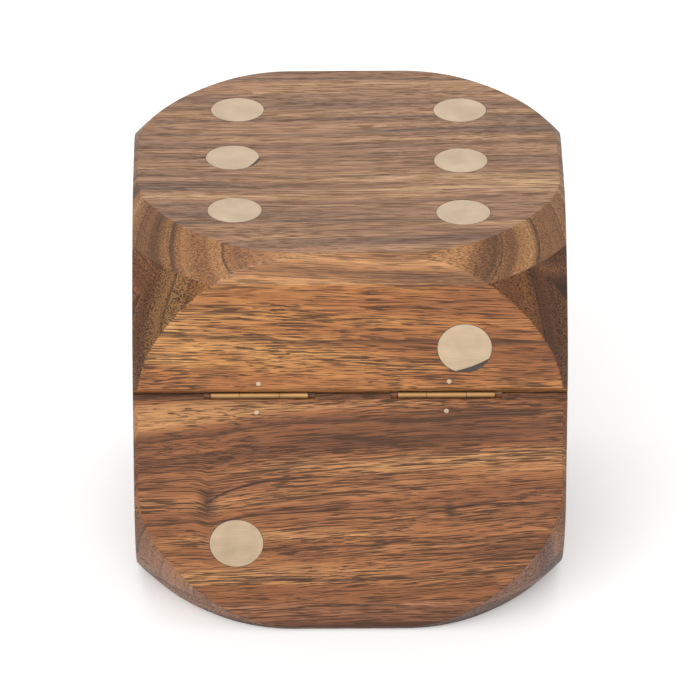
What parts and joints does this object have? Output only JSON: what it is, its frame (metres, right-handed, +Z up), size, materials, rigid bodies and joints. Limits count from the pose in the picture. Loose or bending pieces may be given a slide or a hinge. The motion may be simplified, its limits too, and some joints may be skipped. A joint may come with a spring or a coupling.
{
  "type": "dice box",
  "caption": "Hinged wooden box shaped as a round-cornered die: hollow base, lid on small butt hinges at the rear, and round brass pips inlaid in every face.",
  "frame": {"origin": "centre of the resting face, on the surface the box stands on", "axes": "+Z up, +Y to the hinged rear, +X to the right seen from the front"},
  "size_m": [0.1, 0.0964, 0.0988],
  "materials": {
    "rosewood": "satin lacquer over open-pored rosewood",
    "pip_brass": "sanded flush, fine straight scratches",
    "hinge_brass": "plain, slightly dulled",
    "filler": "dark glue and wood-dust filler, sanded flush"
  },
  "bodies": {
    "base": {"base_bottom_board": "rosewood", "base_front_wall": "rosewood", "base_left_wall": "rosewood", "base_rear_wall": "rosewood", "base_right_wall": "rosewood", "bottom_pip_1": "pip_brass", "front_pip_1": "pip_brass", "front_pip_2": "pip_brass", "front_pip_3": "pip_brass", "left_hinge_base_leaf": "hinge_brass", "left_hinge_base_pin": "hinge_brass", "left_hinge_pintle": "hinge_brass", "left_pip_1": "pip_brass", "left_pip_2": "pip_brass", "rear_pip_2": "pip_brass", "right_hinge_base_leaf": "hinge_brass", "right_hinge_base_pin": "hinge_brass", "right_hinge_pintle": "hinge_brass", "right_pip_2": "pip_brass", "right_pip_3": "pip_brass"},
    "lid": {"front_pip_4": "pip_brass", "front_pip_5": "pip_brass", "left_hinge_lid_leaf": "hinge_brass", "left_hinge_lid_pin": "hinge_brass", "left_pip_3": "pip_brass", "left_pip_4": "pip_brass", "lid_front_wall": "rosewood", "lid_left_wall": "rosewood", "lid_rear_wall": "rosewood", "lid_right_wall": "rosewood", "lid_top_board": "rosewood", "rear_pip_1": "pip_brass", "rear_pip_1_filler": "filler", "right_hinge_lid_leaf": "hinge_brass", "right_hinge_lid_pin": "hinge_brass", "right_pip_1": "pip_brass", "top_pip_1": "pip_brass", "top_pip_2": "pip_brass", "top_pip_3": "pip_brass", "top_pip_3_filler": "filler", "top_pip_4": "pip_brass", "top_pip_5": "pip_brass", "top_pip_6": "pip_brass"}
  },
  "joints": [
    {"name": "lid_hinge", "type": "hinge", "parent": "base", "child": "lid", "pos_m": [0, 0.0466, 0.0618], "axis": [-1, 0, 0], "range_deg": [0, 105]}
  ]
}
